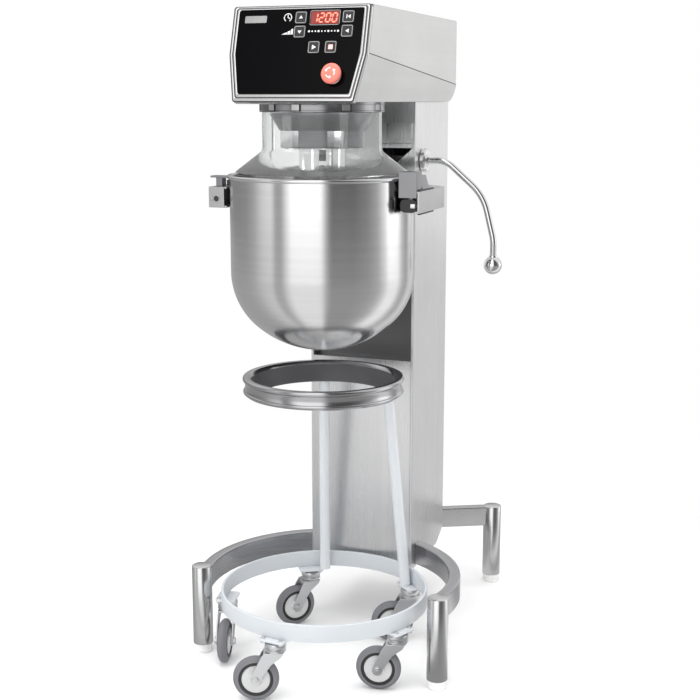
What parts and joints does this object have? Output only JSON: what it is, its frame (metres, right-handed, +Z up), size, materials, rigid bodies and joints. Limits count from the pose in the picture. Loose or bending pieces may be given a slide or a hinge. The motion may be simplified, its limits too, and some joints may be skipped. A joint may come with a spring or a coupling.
{
  "type": "commercial stand mixer",
  "caption": "Floor-standing planetary mixer: column with tilted control head, lever-raised bowl on arms, clear bowl guard and a wheeled bowl trolley between its feet.",
  "frame": {"origin": "on the floor, under the axis of the bowl and the planetary head", "axes": "+Z up, +X to the operator's right, +Y to the back; the operator stands on the -Y side"},
  "size_m": [0.601, 0.8689, 1.3846],
  "materials": {
    "stainless_sheet": "satin brushed sheet",
    "stainless_tube": "satin tube",
    "head_sheet": "fine satin sheet",
    "bezel_steel": "rolled bright edge",
    "bowl_steel": "circular brushed",
    "chrome": "polished",
    "trolley_steel": "bright satin",
    "cast_alloy": "machined satin",
    "shaft_steel": "ground",
    "recess_steel": "dark satin",
    "black_glass": "gloss black",
    "key_black": "gloss black",
    "stop_red": "satin red",
    "clear_guard": "clear polycarbonate",
    "white_plastic": "white nylon",
    "black_plastic": "black nylon",
    "board": "circuit board",
    "motor_paint": "grey enamel",
    "drive_plastic": "grey housing",
    "belt_rubber": "black",
    "zinc": "zinc plated",
    "caster_wheel": "grey tyre on a light hub"
  },
  "bodies": {
    "machine": {"base_arc": "stainless_tube", "rear_arms": "stainless_tube", "leg_tubes": "stainless_tube", "levelling_feet": "white_plastic", "column_shell": "stainless_sheet", "column_rear_cover": "stainless_sheet", "lower_front_panel": "stainless_sheet", "upper_front_panel": "stainless_sheet", "slide_backplate": "recess_steel", "guide_rods": "shaft_steel", "rod_brackets": "recess_steel", "lever_bearing": "shaft_steel", "cable_gland": "black_plastic", "cover_screws": "shaft_steel", "head_housing": "head_sheet", "head_cover": "head_sheet", "panel_bezel": "bezel_steel", "control_glass": "black_glass", "control_board": "board", "inverter": "drive_plastic", "motor_body": "motor_paint", "drive_belt": "belt_rubber", "bearing_housing": "cast_alloy", "ring_gear": "shaft_steel", "guard_ring": "cast_alloy", "guard_rear": "clear_guard"},
    "carrier": {"planet_carrier": "cast_alloy", "main_shaft": "shaft_steel", "scraper": "shaft_steel"},
    "spindle": {"tool_spindle": "shaft_steel", "beater": "shaft_steel"},
    "rotor": {"motor_pulley": "cast_alloy"},
    "lift": {"lift_carriage": "shaft_steel", "bowl_arms": "stainless_tube", "lift_rack": "shaft_steel", "mixing_bowl": "bowl_steel", "bowl_ears": "shaft_steel"},
    "lever": {"lever_shaft": "shaft_steel", "lift_lever": "chrome", "lever_knob": "chrome"},
    "guard": {"guard_front": "clear_guard"},
    "estop": {"estop_button": "stop_red"},
    "trolley": {"trolley_frame": "trolley_steel", "seat_ring": "chrome"},
    "key_timer_up_cap": {"key_timer_up": "key_black"},
    "key_timer_down_cap": {"key_timer_down": "key_black"},
    "key_speed_up_cap": {"key_speed_up": "key_black"},
    "key_speed_down_cap": {"key_speed_down": "key_black"},
    "key_start_cap": {"key_start": "key_black"},
    "key_stop_cap": {"key_stop": "key_black"},
    "caster_1": {"caster_fork_1": "zinc"},
    "wheel_1": {"caster_wheel_1": "caster_wheel"},
    "caster_2": {"caster_fork_2": "zinc"},
    "wheel_2": {"caster_wheel_2": "caster_wheel"},
    "caster_3": {"caster_fork_3": "zinc"},
    "wheel_3": {"caster_wheel_3": "caster_wheel"},
    "caster_4": {"caster_fork_4": "zinc"},
    "wheel_4": {"caster_wheel_4": "caster_wheel"},
    "caster_5": {"caster_fork_5": "zinc"},
    "wheel_5": {"caster_wheel_5": "caster_wheel"}
  },
  "joints": [
    {"name": "carrier_spin", "type": "hinge", "parent": "machine", "child": "carrier", "pos_m": [0, 0, 1.15], "axis": [0, 0, 1], "continuous": true},
    {"name": "spindle_spin", "type": "hinge", "parent": "carrier", "child": "spindle", "pos_m": [-0.01356, -0.04028, 1.15], "axis": [0, 0, 1], "continuous": true},
    {"name": "motor_spin", "type": "hinge", "parent": "machine", "child": "rotor", "pos_m": [0, 0.4, 1.27], "axis": [0, 0, 1], "continuous": true},
    {"name": "bowl_lift", "type": "slide", "parent": "machine", "child": "lift", "axis": [0, 0, -1], "range_m": [0, 0.1256]},
    {"name": "lever_swing", "type": "hinge", "parent": "machine", "child": "lever", "pos_m": [0.13, 0.286, 1.075], "axis": [1, 0, 0], "range_deg": [-180, 0]},
    {"name": "guard_turn", "type": "hinge", "parent": "machine", "child": "guard", "pos_m": [0, 0, 1.13], "axis": [0, 0, 1], "range_deg": [-150, 0]},
    {"name": "estop_push", "type": "slide", "parent": "machine", "child": "estop", "axis": [0, 0.9575, -0.2884], "range_m": [0, 0.004], "stiffness_N_per_m": 900},
    {"name": "trolley_roll", "type": "slide", "parent": "machine", "child": "trolley", "axis": [0, -1, 0], "range_m": [0, 0.6]},
    {"name": "key_timer_up_press", "type": "slide", "parent": "machine", "child": "key_timer_up_cap", "axis": [0, 0.9575, -0.2884], "range_m": [0, 0.0008], "stiffness_N_per_m": 800},
    {"name": "key_timer_down_press", "type": "slide", "parent": "machine", "child": "key_timer_down_cap", "axis": [0, 0.9575, -0.2884], "range_m": [0, 0.0008], "stiffness_N_per_m": 800},
    {"name": "key_speed_up_press", "type": "slide", "parent": "machine", "child": "key_speed_up_cap", "axis": [0, 0.9575, -0.2884], "range_m": [0, 0.0008], "stiffness_N_per_m": 800},
    {"name": "key_speed_down_press", "type": "slide", "parent": "machine", "child": "key_speed_down_cap", "axis": [0, 0.9575, -0.2884], "range_m": [0, 0.0008], "stiffness_N_per_m": 800},
    {"name": "key_start_press", "type": "slide", "parent": "machine", "child": "key_start_cap", "axis": [0, 0.9575, -0.2884], "range_m": [0, 0.0008], "stiffness_N_per_m": 800},
    {"name": "key_stop_press", "type": "slide", "parent": "machine", "child": "key_stop_cap", "axis": [0, 0.9575, -0.2884], "range_m": [0, 0.0008], "stiffness_N_per_m": 800},
    {"name": "caster_1_swivel", "type": "hinge", "parent": "trolley", "child": "caster_1", "pos_m": [-0.21128, -0.04491, 0.12], "axis": [0, 0, 1], "range_deg": [-48, 200]},
    {"name": "wheel_1_roll", "type": "hinge", "parent": "caster_1", "child": "wheel_1", "pos_m": [-0.20093, -0.08355, 0.0475], "axis": [0.9659, 0.2588, 0], "continuous": true},
    {"name": "caster_2_swivel", "type": "hinge", "parent": "trolley", "child": "caster_2", "pos_m": [-0.108, 0.18706, 0.12], "axis": [0, 0, 1], "continuous": true},
    {"name": "wheel_2_roll", "type": "hinge", "parent": "caster_2", "child": "wheel_2", "pos_m": [-0.13628, 0.15878, 0.0475], "axis": [0.7071, -0.7071, 0], "continuous": true},
    {"name": "caster_3_swivel", "type": "hinge", "parent": "trolley", "child": "caster_3", "pos_m": [-0.02258, -0.21482, 0.12], "axis": [0, 0, 1], "continuous": true},
    {"name": "wheel_3_roll", "type": "hinge", "parent": "caster_3", "child": "wheel_3", "pos_m": [-0.06017, -0.2285, 0.0475], "axis": [0.342, -0.9397, 0], "continuous": true},
    {"name": "caster_4_swivel", "type": "hinge", "parent": "trolley", "child": "caster_4", "pos_m": [0.19733, -0.08786, 0.12], "axis": [0, 0, 1], "range_deg": [-122, 160]},
    {"name": "wheel_4_roll", "type": "hinge", "parent": "caster_4", "child": "wheel_4", "pos_m": [0.15793, -0.0948, 0.0475], "axis": [0.1736, -0.9848, 0], "continuous": true},
    {"name": "caster_5_swivel", "type": "hinge", "parent": "trolley", "child": "caster_5", "pos_m": [0.14453, 0.16052, 0.12], "axis": [0, 0, 1], "continuous": true},
    {"name": "wheel_5_roll", "type": "hinge", "parent": "caster_5", "child": "wheel_5", "pos_m": [0.10694, 0.14684, 0.0475], "axis": [0.342, -0.9397, 0], "continuous": true}
  ],
  "couplings": [
    {"joint": "spindle_spin", "follows": "carrier_spin", "ratio": -2.8889},
    {"joint": "motor_spin", "follows": "carrier_spin", "ratio": 3},
    {"joint": "lever_swing", "follows": "bowl_lift", "rad_per_m": -25}
  ]
}
